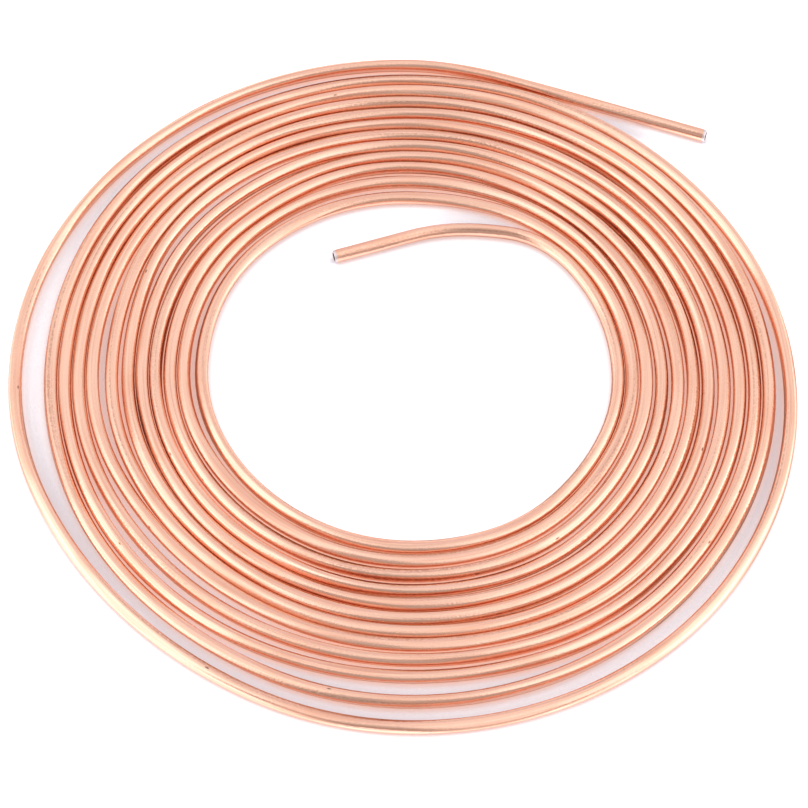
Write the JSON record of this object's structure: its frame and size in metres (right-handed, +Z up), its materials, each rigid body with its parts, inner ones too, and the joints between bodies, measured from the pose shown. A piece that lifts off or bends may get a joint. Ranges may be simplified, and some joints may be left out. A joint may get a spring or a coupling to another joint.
{
  "type": "copper tube coil",
  "caption": "Loose flat spiral coil of thin bare copper tube, one layer high, with an open centre and both cut ends free.",
  "frame": {"origin": "middle of the coil's footprint, on the floor it lies on", "axes": "+Z up off the floor, through the flat coil; the outer end leaves the coil at the back right, towards +X and +Y, and -Y is the front"},
  "size_m": [0.2842, 0.2838, 0.0048],
  "materials": {
    "copper": "bright drawn copper with faint lengthwise draw lines"
  },
  "bodies": {
    "root": {"copper_tube": "copper"}
  },
  "joints": []
}
